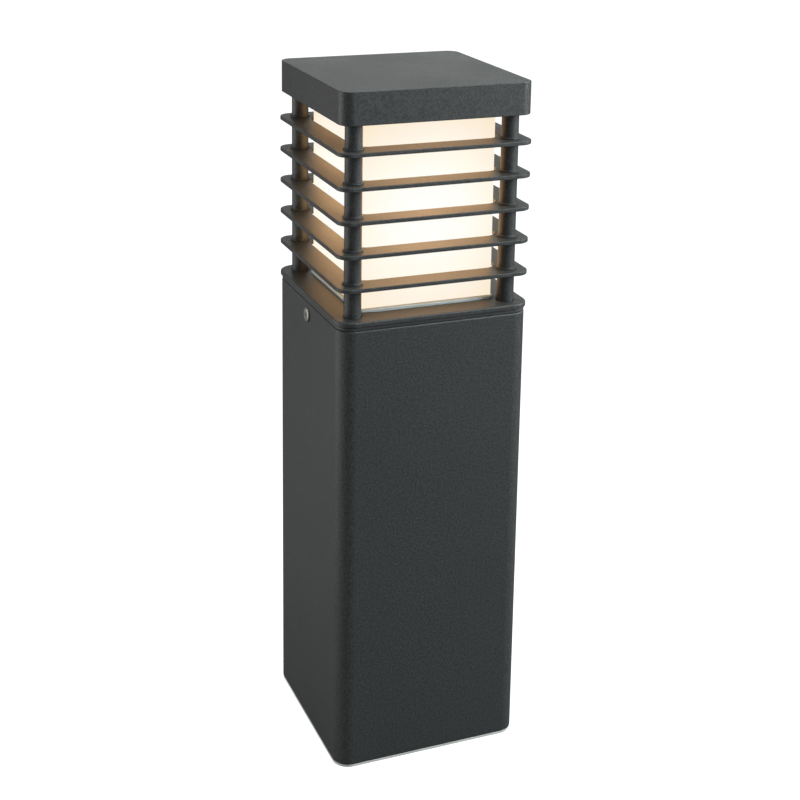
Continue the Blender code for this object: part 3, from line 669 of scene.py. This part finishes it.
def make_tray():
    """The folded strip that stands on the foot plate, behind the terminal block."""
    low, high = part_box("gear_tray")
    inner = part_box("terminal_block")[1].y + GAP
    outer = inner + SHEET
    outline = [
        (low.y, high.z, 0.3 * MM),
        (outer, high.z, 3 * MM),
        (outer, low.z + SHEET, 1 * MM),
        (high.y, low.z + SHEET, 0.3 * MM),
        (high.y, low.z, 0.3 * MM),
        (inner, low.z, 3 * MM),
        (inner, high.z - SHEET, 1 * MM),
        (low.y, high.z - SHEET, 0.3 * MM),
    ]
    tray = folded("folded_tray", outline, high.x, 0.35 * MM)
    holes = [drill(9 * MM, high.z - CLEAR, high.z + CLEAR)]
    for share in (0.25, 0.45, 0.75):
        place = (0, outer, low.z + (high.z - low.z) * share)
        holes.append(drill(5 * MM, -CLEAR, CLEAR, place, FORWARD))
    for side in SIDES:
        holes.append(drill(TRAY_SCREW_HOLE, -CLEAR, CLEAR, middle_of("tray_screw_" + side)))
    adopt(cut(tray, together("drills", *holes)), "gear_tray")


def make_tray_screw(side):
    """A pan-head screw with a cross recess, down through the tray into the foot plate."""
    node = "tray_screw_" + side
    low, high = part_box(node)
    centre = middle_of(node)
    radius, shank_radius = (high.x - low.x) / 2, 2 * MM
    seat = high.z - 2.6 * MM
    profile = [
        (radius * 0.4, high.z, 0),
        (radius, high.z, 1.6 * MM),
        (radius, seat, 0.2 * MM),
        (shank_radius, seat, 0),
    ]
    rings = [round_loop(across, height) for across, height in rounded(profile, closed=False)]
    shank = threaded_loops(low.z, seat - 0.3 * MM, shank_radius, 1.6 * MM, TRAY_SCREW_PITCH)
    screw = even_shading(skin("pan_screw_" + side, rings + shank[::-1], closed=False))
    for x, y in ((1.8 * MM, 0.4 * MM), (0.4 * MM, 1.8 * MM)):
        arm_low, arm_high = Vector((-x, -y, -1.2 * MM)), Vector((x, y, 2 * MM))
        cut(screw, bake_at(slot(arm_low, arm_high, 0.1 * MM), (0, 0, high.z)))
    bake_at(screw, (centre.x, centre.y, 0))
    adopt(screw, node)


def make_terminal_block():
    """A two-pole block: screws in wells on its front, and wire entries in its top."""
    low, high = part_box("terminal_block")
    depth = (low.y + high.y) / 2
    body = block("terminal_body", low, high, 1.1 * MM)
    groove_low = Vector((-0.6 * MM, low.y - MM, low.z + 3 * MM))
    groove_high = Vector((0.6 * MM, low.y + 1.5 * MM, high.z - 3 * MM))
    cut(body, slot(groove_low, groove_high, 0.2 * MM))
    screws = []
    for x in (-LEAD_SPREAD, LEAD_SPREAD):
        cut(body, drill(2.1 * MM, high.z - 4 * MM, high.z + MM, (x, depth, 0)))
        for z in (low.z + 8 * MM, high.z - 8 * MM):
            cut(body, drill(3.2 * MM, -4 * MM, CLEAR, (x, low.y, z), FORWARD))
            screws.append(terminal_screw((x, low.y + 2 * MM, z)))
    adopt(body, "terminal_block")
    attach(together("terminal_screws", *screws), "column", "brass")


def terminal_screw(place):
    """A slotted screw at the bottom of a well, facing forward."""
    screw = turned("screw", [(2.4 * MM, 0, 0), (2.8 * MM, 0, 0.3 * MM), (2.8 * MM, -1.8 * MM, 0)])
    groove_low, groove_high = Vector((-3, -0.4, -0.8)) * MM, Vector((3, 0.4, 1)) * MM
    cut(screw, block("groove", groove_low, groove_high, 0.05 * MM))
    return bake_at(screw, place, FORWARD)


def make_cable_gland():
    """The gland in the foot plate: a hexagon, a ribbed dome nut, and a stem down through the plate."""
    low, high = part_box("cable_gland")
    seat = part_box("foot_plate")[1].z + GAP
    wide = (high.x - low.x) / 2
    stem_radius = CABLE_HOLE - 0.4 * MM
    nut = turned("nut", [(wide, seat + 6 * MM, 0.7 * MM), (wide, seat, 0.4 * MM)], segments=6)
    stem = turned("stem", [(stem_radius, seat + MM, 0), (stem_radius, low.z, 0.4 * MM)])
    loops = [round_loop(7 * MM, high.z)]
    for share in (0.0, 0.12, 0.3, 0.55, 0.8, 1.0):
        height = high.z - 0.4 * MM - (high.z - seat - 7 * MM) * share
        radius = (7.3 + 3.1 * math.sin(math.pi / 2 * min(1.0, share * 1.7))) * MM
        loops.append(ribbed_loop(radius, height, 10, 0.45 * MM * min(1.0, share * 2)))
    loops.append(round_loop(9 * MM, seat + 5.8 * MM))
    dome = skin("dome", loops, closed=False)
    bored = [cut(piece, drill(4.5 * MM, -CLEAR, 2 * CLEAR)) for piece in (nut, stem, dome)]
    adopt(together("gland", *bored), "cable_gland")


def ribbed_loop(radius, height, grooves, depth):
    """A circle about Z with shallow grooves round it."""
    loop = []
    for step in range(TURN_SEGMENTS):
        turn = 2 * math.pi * step / TURN_SEGMENTS
        reach = radius - depth * (0.5 - 0.5 * math.cos(grooves * turn))
        loop.append((reach * math.cos(turn), reach * math.sin(turn), height))
    return loop


def make_supply_cable():
    """The supply cable, up through the gland and into the terminal block."""
    low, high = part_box("supply_cable")
    plate_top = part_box("foot_plate")[1].z
    block_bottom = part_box("terminal_block")[0].z
    depth = middle_of("terminal_block").y
    stations = [
        Vector((0, 0, low.z)),
        Vector((0, 0, plate_top + 30 * MM)),
        Vector((0, depth, block_bottom - 25 * MM)),
        Vector((0, depth, high.z)),
    ]
    radius = (high.x - low.x) / 2 - SEAT
    adopt(tube("supply_flex", eased(stations), radius, segments=24), "supply_cable")


def make_lead(name, sign):
    """One of the two wires from the terminal block up to the lamp holder."""
    node = "lamp_lead_" + name
    low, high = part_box(node)
    holder_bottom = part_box("lamp_holder")[0].z
    depth = middle_of("terminal_block").y
    side, holder_side = sign * LEAD_SPREAD, sign * 4 * MM
    stations = [
        Vector((side, depth, low.z - 2.5 * MM)),
        Vector((side, depth, low.z + 12 * MM)),
        Vector((holder_side, 0, holder_bottom - 20 * MM)),
        Vector((holder_side, 0, high.z)),
    ]
    adopt(tube("wire_" + name, eased(stations), 1.25 * MM), node)


def make_lamp_holder():
    """The glazed porcelain lamp holder, and the threaded sleeve in it."""
    low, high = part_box("lamp_holder")
    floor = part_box("holder_contact")[0].z - GAP
    foot, rim, waist, hollow = (high.x - low.x) / 2, 20.5 * MM, 19 * MM, 12 * MM
    profile = [
        (AXIS, floor, 0),
        (HOLDER_BORE, floor, 1.0 * MM),
        (HOLDER_BORE, high.z, 0.8 * MM),
        (rim, high.z, 1.6 * MM),
        (rim, high.z - 10 * MM, 1.2 * MM),
        (waist, high.z - 13 * MM, 1.5 * MM),
        (waist, low.z + 6 * MM, 1.5 * MM),
        (foot, low.z + 4 * MM, 1.2 * MM),
        (foot, low.z, 0.6 * MM),
        (hollow, low.z, 0.8 * MM),
        (hollow, low.z + 10 * MM, 1.0 * MM),
        (AXIS, low.z + 10 * MM, 0),
    ]
    adopt(turned("porcelain_holder", profile, segments=56), "lamp_holder")
    outside = HOLDER_BORE - SEAT
    bottom, top = floor + 2 * MM, high.z - 2 * MM
    loops = threaded_loops(bottom, top, outside - 0.3 * MM, outside - 0.15 * MM, LAMP_PITCH)
    loops += [round_loop(outside, top), round_loop(outside, bottom)]
    sleeve = even_shading(skin("threaded_sleeve", loops, closed=True))
    attach(sleeve, frame["nodes"]["lamp_holder"]["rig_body"], "bare_aluminium")


def make_holder_contact():
    """The sprung contact at the bottom of the lamp holder, with two slots in its rim."""
    low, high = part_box("holder_contact")
    radius = (high.x - low.x) / 2
    shoulder = low.z + 0.5 * MM
    profile = [
        (AXIS, high.z, 0),
        (radius * 0.45, high.z - 0.1 * MM, 0.3 * MM),
        (radius * 0.8, shoulder, 0.4 * MM),
        (radius, shoulder, 0.1 * MM),
        (radius, low.z, 0.1 * MM),
        (AXIS, low.z, 0),
    ]
    spring = turned("contact_spring", profile)
    for angle in (0, math.pi / 2):
        notch = slot(Vector((-0.3, -4, -3)) * MM, Vector((0.3, -2.2, 3)) * MM, 0.05 * MM)
        cut(spring, bake_at(notch, (0, 0, low.z), (0, 0, angle)))
    adopt(spring, "holder_contact")


# ---------------------------------------------------------------- the lamp

def make_lamp_glass():
    """An opal globe that narrows in a curve to its neck."""
    low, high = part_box("lamp_glass")
    radius, neck, tip = (high.x - low.x) / 2, 12.5 * MM, 0.05 * MM
    centre = high.z - radius
    globe_steps, neck_steps = 32, 16
    profile = []
    for step in range(globe_steps + 1):
        angle = math.radians(90 - 125 * step / globe_steps)
        profile.append((max(radius * math.cos(angle), tip), centre + radius * math.sin(angle), 0))
    wide, shoulder = profile[-1][:2]
    for step in range(1, neck_steps + 1):
        share = step / neck_steps
        pull = 1 - (1 - share) ** 2
        profile.append((wide + (neck - wide) * pull, shoulder + (low.z - shoulder) * share, 0))
    adopt(turned("globe", profile, segments=64), "lamp_glass")


def make_lamp_shell():
    """The lamp's rolled thread, with a plain collar over it."""
    low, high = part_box("lamp_shell")
    crest, root = (high.x - low.x) / 2, 12.3 * MM
    loops = [round_loop(11.5 * MM, low.z), round_loop(11.8 * MM, low.z + 0.8 * MM)]
    loops += threaded_loops(low.z + 1.2 * MM, high.z - 1.8 * MM, crest, root, LAMP_PITCH)
    collar = [
        (12.8 * MM, high.z - 1.4 * MM),
        (crest, high.z - MM),
        (crest, high.z - 0.2 * MM),
        (crest - 0.2 * MM, high.z),
    ]
    loops += [round_loop(across, height) for across, height in collar]
    adopt(even_shading(skin("threaded_shell", loops, closed=False)), "lamp_shell")


def make_lamp_contact():
    """The black insulator at the lamp's end, and its solder button."""
    low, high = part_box("lamp_contact")
    end = low.z + 1.2 * MM
    profile = [
        (11 * MM, high.z, 0.4 * MM),
        (10.6 * MM, high.z - 0.8 * MM, 0.4 * MM),
        (5.2 * MM, end, 0.5 * MM),
        (2 * MM, end, 0),
    ]
    adopt(turned("lamp_insulator", profile), "lamp_contact")
    profile = [
        (2 * MM, end + 0.3 * MM, 0),
        (4.4 * MM, end + 0.1 * MM, 0.2 * MM),
        (3.8 * MM, low.z, 0.8 * MM),
        (AXIS, low.z, 0),
    ]
    button = turned("solder_button", profile)
    attach(button, frame["nodes"]["lamp_contact"]["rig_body"], "bare_aluminium")


# ---------------------------------------------------------------- the head

def make_head_base():
    """The plate over the column's mouth: a rim, a spigot down into the column, and a pocket for the seal."""
    low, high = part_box("head_base")
    rim = high.x + RIM_OVERHANG
    rim_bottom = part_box("head_gasket")[1].z + 0.1 * MM
    spigot = high.x - COLUMN_WALL - 0.4 * MM
    spigot_bottom = rim_bottom - 4.7 * MM
    floor = high.z - 1.8 * MM
    outline = [
        (rim, high.z, 1.0 * MM),
        (rim, rim_bottom, 0.6 * MM),
        (spigot, rim_bottom, 0.3 * MM),
        (spigot, spigot_bottom, 0.5 * MM),
        (HEAD_OPENING, spigot_bottom, 0.4 * MM),
        (HEAD_OPENING, floor, 0.3 * MM),
        (SEAL_POCKET, floor, 0.2 * MM),
        (SEAL_POCKET, high.z, 0.4 * MM),
    ]
    base = square_ring("head_plate", COLUMN_CORNER + RIM_OVERHANG, OPENING_CORNER, outline)
    for place in four(middle_of(f"spacer_{SPACER_LEVELS}_front_right").x):
        cut(base, drill(POST_SEAT, high.z - 0.8 * MM, high.z + MM, place))
        cut(base, drill(BOLT_HOLE, low.z, high.z + MM, place))
    adopt(base, "head_base")
    for side, sign in SIDES.items():
        outer = high.x - 6.3 * MM
        tab_low = Vector((outer - 2.2 * MM, -28 * MM, low.z))
        tab_high = Vector((outer, 28 * MM, spigot_bottom + 0.5 * MM))
        tab = block("clamp_tab_" + side, tab_low, tab_high, 0.6 * MM)
        if sign < 0:
            bake_at(tab, (0, 0, 0), (0, 0, math.pi))
        attach(tab, "head", "anthracite_powder_coat")


def make_head_gasket():
    """The thin gasket between the plate's rim and the column."""
    low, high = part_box("head_gasket")
    outer, inner = high.x + 0.5 * MM, high.x - 1.6 * MM
    top, bottom = high.z - 0.1 * MM, low.z - 0.1 * MM
    profile = [
        (outer, top, 0.5 * MM),
        (outer, bottom, 0.5 * MM),
        (inner, bottom, 0.2 * MM),
        (inner, top, 0.2 * MM),
    ]
    gasket = square_ring("head_seal", COLUMN_CORNER - 0.9 * MM, COLUMN_CORNER - COLUMN_WALL, profile)
    adopt(gasket, "head_gasket")


def make_louvre(index):
    """A thin square frame round the diffuser."""
    node = f"louvre_{index}"
    low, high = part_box(node)
    profile = [
        (high.x, high.z, 0.55 * MM),
        (high.x, low.z, 0.4 * MM),
        (LOUVRE_OPENING, low.z, 0.3 * MM),
        (LOUVRE_OPENING, high.z, 0.3 * MM),
    ]
    louvre = square_ring(f"louvre_frame_{index}", LOUVRE_CORNER, OPENING_CORNER, profile)
    adopt(louvre, node)


def make_spacer(level, corner):
    """A turned spacer, as long as the space it fills. All but the lowest stand on a small collar."""
    node = f"spacer_{level}_{corner}"
    low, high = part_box(node)
    centre = middle_of(node)
    collar, post = (high.x - low.x) / 2, 5.5 * MM
    bottom = low.z - GAP + SEAT
    top = high.z + GAP - SEAT
    profile = [(BOLT_HOLE, top, 0.1 * MM), (post, top, 0.35 * MM)]
    if level < SPACER_LEVELS:
        profile += [
            (post, bottom + 1.1 * MM, 0.3 * MM),
            (collar, bottom + 1.0 * MM, 0.3 * MM),
            (collar, bottom, 0.15 * MM),
        ]
    else:
        profile += [(post, bottom, 0.3 * MM)]
    profile += [(BOLT_HOLE, bottom, 0.1 * MM)]
    spacer = turned("post_" + node, profile, closed=True)
    bake_at(spacer, (centre.x, centre.y, 0))
    adopt(spacer, node)


def make_cage_bolt(corner):
    """A long bolt up through a post, with its hexagon head under the plate."""
    node = "cage_bolt_" + corner
    low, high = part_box(node)
    centre = middle_of(node)
    wide, shank_radius = 4.6 * MM, 2.45 * MM
    neck = low.z + 4 * MM
    profile = [(2.4 * MM, neck + 0.2 * MM, 0), (wide, neck, 0.3 * MM), (wide, low.z, 0.6 * MM)]
    head = turned("head", profile, segments=6)
    loops = [round_loop(shank_radius, height) for height in (neck - MM, high.z - 22 * MM)]
    loops += threaded_loops(high.z - 21 * MM, high.z, shank_radius, 2.1 * MM, BOLT_PITCH)
    bolt = together("hexagon_bolt_" + corner, head, skin("shank", loops, closed=False))
    bake_at(bolt, (centre.x, centre.y, 0))
    adopt(bolt, node)


def make_cap():
    """The flat square lid."""
    low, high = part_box("cap")
    half = high.x
    inner = half - CAP_WALL
    ceiling = high.z - CAP_WALL
    profile = [
        (half - 20 * MM, high.z, 0),
        (half, high.z, 0.4 * MM),
        (half, low.z, 0.5 * MM),
        (inner, low.z, 0.5 * MM),
        (inner, ceiling, 1.5 * MM),
        (inner - 20 * MM, ceiling, 0),
    ]
    loops = []
    for across, height in rounded(profile, closed=False, steps=5):
        outside = across > half - 1.5 * MM
        corner = CAP_CORNER - (half - across) if outside else CAP_CORNER - CAP_WALL - (inner - across)
        loops.append(square_loop(across, max(corner, MM), height))
    adopt(even_shading(skin("cap_lid", loops, closed=False)), "cap")


def make_cap_boss(corner):
    """A boss under the lid, which a long bolt screws into."""
    spacer = "spacer_1_" + corner
    centre = middle_of(spacer)
    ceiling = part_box("cap")[1].z - CAP_WALL
    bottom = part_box(spacer)[1].z + GAP
    outer = 7 * MM
    profile = [
        (outer, ceiling + 0.5 * MM, 0),
        (outer, bottom, 0.5 * MM),
        (BOLT_HOLE, bottom, 0.3 * MM),
        (BOLT_HOLE, ceiling - 1 * MM, 0),
    ]
    boss = turned("cap_boss_" + corner, profile)
    bake_at(boss, (centre.x, centre.y, 0))
    attach(boss, "head", "anthracite_powder_coat")


def make_diffuser():
    """The opal box, open below, with almost sharp upright edges."""
    low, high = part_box("diffuser")
    half = high.x
    inner = half - DIFFUSER_WALL
    ceiling = high.z - DIFFUSER_WALL
    profile = [
        (half - 20 * MM, high.z, 0),
        (half, high.z, 1.0 * MM),
        (half, low.z, 0.3 * MM),
        (inner, low.z, 0.3 * MM),
        (inner, ceiling, 0.5 * MM),
        (inner - 20 * MM, ceiling, 0),
    ]
    loops = []
    for across, height in rounded(profile, closed=False):
        loops.append(square_loop(across, 0.4 * MM, height, segments=5))
    adopt(even_shading(skin("diffuser_box", loops, closed=False)), "diffuser")


def make_diffuser_seal():
    """The pale seal that the diffuser stands in."""
    low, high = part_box("diffuser_seal")
    outer = high.x + 1.7 * MM
    bottom = low.z - 0.2 * MM
    profile = [
        (outer, high.z - 0.1 * MM, 0.6 * MM),
        (outer, bottom, 0.2 * MM),
        (SEAL_OPENING, bottom, 0.2 * MM),
        (SEAL_OPENING, high.z + 0.2 * MM, 0.2 * MM),
    ]
    adopt(square_ring("diffuser_foot_seal", PAD_CORNER, PAD_INNER_CORNER, profile), "diffuser_seal")


def make_diffuser_top_gasket():
    """The soft gasket between the diffuser and the lid."""
    low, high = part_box("diffuser_top_gasket")
    outer, inner, edge = high.x, high.x - 10 * MM, 0.6 * MM
    profile = [(outer, high.z, edge), (outer, low.z, edge), (inner, low.z, edge), (inner, high.z, edge)]
    pad = square_ring("diffuser_top_pad", PAD_CORNER, PAD_INNER_CORNER, profile)
    adopt(pad, "diffuser_top_gasket")


# ---------------------------------------------------------------- the studio

def make_stage():
    """A plain pale floor, which is white to the eye and grey to the light on it."""
    bpy.ops.mesh.primitive_plane_add(size=12)
    floor = bpy.context.object
    floor.name = "studio_floor"
    floor.location.z = -SEAT
    surface = Surface("studio_floor", 0.9)
    surface.set("base color", (0.18, 0.18, 0.18, 1.0))
    eye = surface.add("ShaderNodeLightPath").outputs["Is Camera Ray"]
    surface.set("emission color", (1.0, 1.0, 1.0, 1.0))
    surface.set("emission strength", eye)
    floor.data.materials.append(surface.material)


def make_background():
    """A plain background, white to the eye, that gives a weaker light from all round."""
    world = bpy.data.worlds.new("studio")
    bpy.context.scene.world = world
    world.use_nodes = True
    nodes, links = world.node_tree.nodes, world.node_tree.links
    background = nodes["Background"]
    path = nodes.new("ShaderNodeLightPath")
    strength = nodes.new("ShaderNodeMapRange")
    strength.inputs["To Min"].default_value = AMBIENT
    strength.inputs["To Max"].default_value = 1.0
    links.new(path.outputs["Is Camera Ray"], strength.inputs["Value"])
    links.new(strength.outputs["Result"], background.inputs["Strength"])
    background.inputs["Color"].default_value = (1.0, 1.0, 1.0, 1.0)


def softbox(name, azimuth, elevation, distance, width, height, radiance, colour=(1.0, 1.0, 1.0)):
    """A soft light, placed by its direction from the object and set by how bright its face is."""
    turn, rise = math.radians(azimuth), math.radians(elevation)
    aim = Vector((0.0, 0.0, AIM_HEIGHT))
    away = Vector((math.sin(turn) * math.cos(rise), -math.cos(turn) * math.cos(rise), math.sin(rise)))
    data = bpy.data.lights.new(name, "AREA")
    data.shape = "RECTANGLE"
    data.size = width
    data.size_y = height
    data.energy = radiance * math.pi * width * height
    data.color = colour
    light = bpy.data.objects.new(name, data)
    bpy.context.scene.collection.objects.link(light)
    light.location = aim + away * distance
    light.rotation_euler = (-away).to_track_quat("-Z", "Y").to_euler()
    light.visible_camera = False


def make_lights():
    """Soft lights all round. Azimuth 0 is in front, at -Y, and 90 is on the right, at +X."""
    softbox("overhead_light", 0, 88, 1.3, 1.0, 1.0, 3.3, (0.96, 1.0, 0.95))
    softbox("front_right_light", 32, 50, 0.85, 0.4, 0.4, 3.8)
    softbox("backdrop_light", 157.5, 13, 2.2, 0.9, 0.9, 1.0, (0.94, 1.0, 0.94))
    softbox("left_light", -116, 3, 1.3, 0.4, 1.1, 6.6, (1.0, 0.985, 0.95))
    softbox("left_near_light", -90, -15.5, 0.7, 0.6, 0.12, 3.2, (1.0, 0.985, 0.95))
    softbox("right_light", 58, 24, 1.0, 0.5, 0.5, 15.2, (0.95, 1.0, 1.0))


def make_camera():
    """The camera, with a lens shift that holds only at its own station."""
    azimuth, elevation, roll = math.radians(-22.5), math.radians(13.415), math.radians(1.038)
    distance, aim_side, aim_height = 1.0142576, 0.0123091, 0.3866051
    focal_length = 1.95588    # in sensor widths
    back = Vector((
        math.sin(azimuth) * math.cos(elevation),
        -math.cos(azimuth) * math.cos(elevation),
        math.sin(elevation),
    ))
    right = Vector((math.cos(azimuth), math.sin(azimuth), 0.0))
    eye = right * aim_side + Vector((0, 0, aim_height)) + back * distance
    up = back.cross(right)
    tilted_right = right * math.cos(roll) + up * math.sin(roll)
    tilted_up = up * math.cos(roll) - right * math.sin(roll)
    data = bpy.data.cameras.new("camera")
    data.lens = focal_length * data.sensor_width
    camera = bpy.data.objects.new("camera", data)
    bpy.context.scene.collection.objects.link(camera)
    axes = Matrix((tilted_right, tilted_up, back)).transposed()
    camera.matrix_world = Matrix.Translation(eye) @ axes.to_4x4()
    station = bpy.data.objects.new("camera_station", None)
    bpy.context.scene.collection.objects.link(station)
    station.location = eye
    for shift, amount in (("shift_x", -0.02569), ("shift_y", -0.29169)):
        driver = data.driver_add(shift).driver
        variable = driver.variables.new()
        variable.name = "away"
        variable.type = "LOC_DIFF"
        variable.targets[0].id = camera
        variable.targets[1].id = station
        driver.expression = f"{amount} if away < 0.001 else 0.0"
    bpy.context.scene.camera = camera


lamp_low, lamp_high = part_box("lamp_glass")
LOOK = make_materials(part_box("diffuser"), lamp_high.z - (lamp_high.x - lamp_low.x) / 2)

make_column()
make_foot_gasket()
make_foot_plate()
make_tray()
for side_name, side_sign in SIDES.items():
    make_clamp_nut(side_name, side_sign)
    make_clamp_screw(side_name, side_sign)
    make_tray_screw(side_name)
make_terminal_block()
make_cable_gland()
make_supply_cable()
make_lead("live", -1)
make_lead("neutral", 1)
make_lamp_holder()
make_holder_contact()
make_lamp_glass()
make_lamp_shell()
make_lamp_contact()
make_head_base()
make_head_gasket()
for louvre in range(1, LOUVRE_COUNT + 1):
    make_louvre(louvre)
for post_corner in CORNERS:
    for level in range(1, SPACER_LEVELS + 1):
        make_spacer(level, post_corner)
    make_cage_bolt(post_corner)
    make_cap_boss(post_corner)
make_cap()
make_diffuser()
make_diffuser_seal()
make_diffuser_top_gasket()

make_stage()
make_background()
make_lights()
make_camera()
bpy.context.scene.view_settings.view_transform = "Standard"
